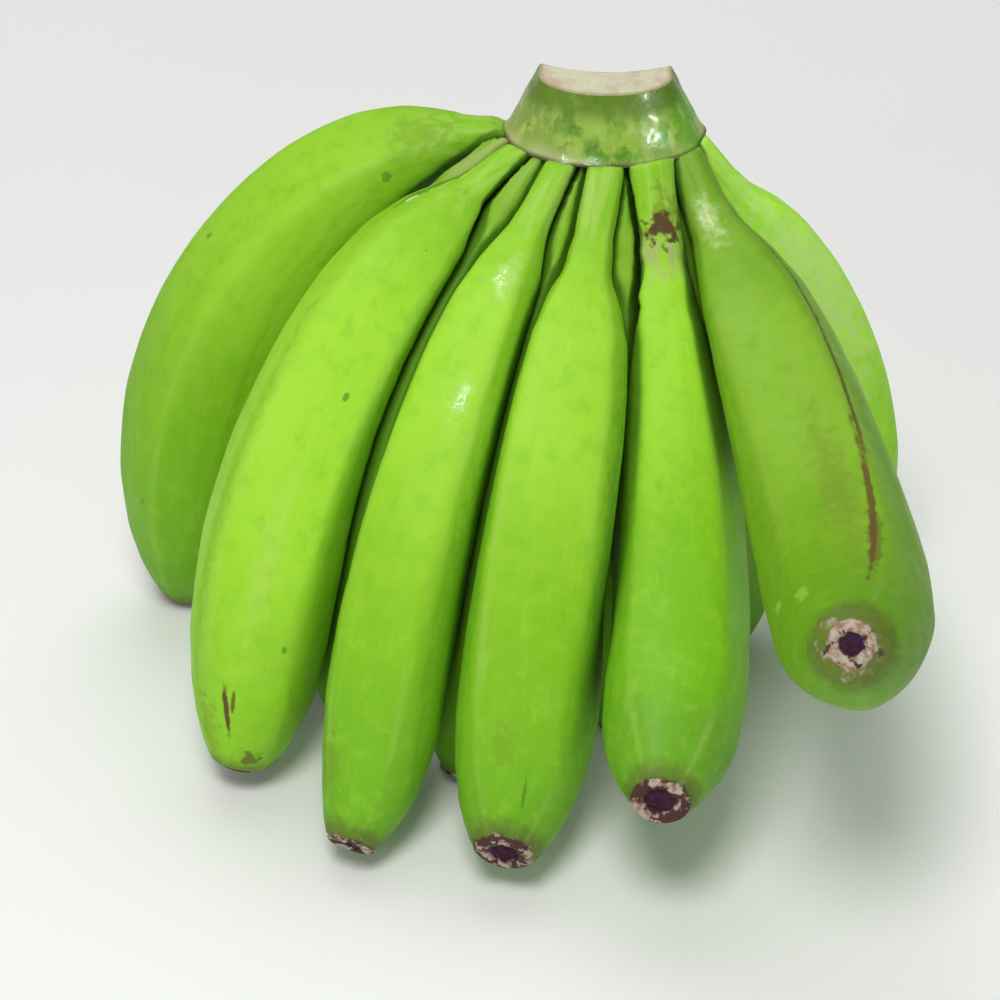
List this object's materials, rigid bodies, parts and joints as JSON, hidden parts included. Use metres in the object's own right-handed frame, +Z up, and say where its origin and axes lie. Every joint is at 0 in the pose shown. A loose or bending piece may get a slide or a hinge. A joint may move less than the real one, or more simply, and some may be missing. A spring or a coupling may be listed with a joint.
{
  "type": "hand of green bananas",
  "caption": "Hand of unripe green bananas: two rows of curved fingers on one cut crown, standing on its fingertips.",
  "frame": {"origin": "centre of the bounding box, on the surface that the hand stands on", "axes": "+Z up, from the fingertips to the cut face of the crown; -Y towards the front, where the outer sides of the fingers show; +X to the right as seen from the front"},
  "size_m": [0.21, 0.1784, 0.161],
  "materials": {
    "crown_tissue": "mottled green rind with a cream cut face",
    "peel": "waxy green peel"
  },
  "bodies": {
    "root": {"crown": "crown_tissue", "finger_01": "peel", "finger_02": "peel", "finger_03": "peel", "finger_04": "peel", "finger_05": "peel", "finger_06": "peel", "finger_07": "peel", "finger_08": "peel", "finger_09": "peel", "finger_10": "peel", "finger_11": "peel", "finger_12": "peel"}
  },
  "joints": []
}
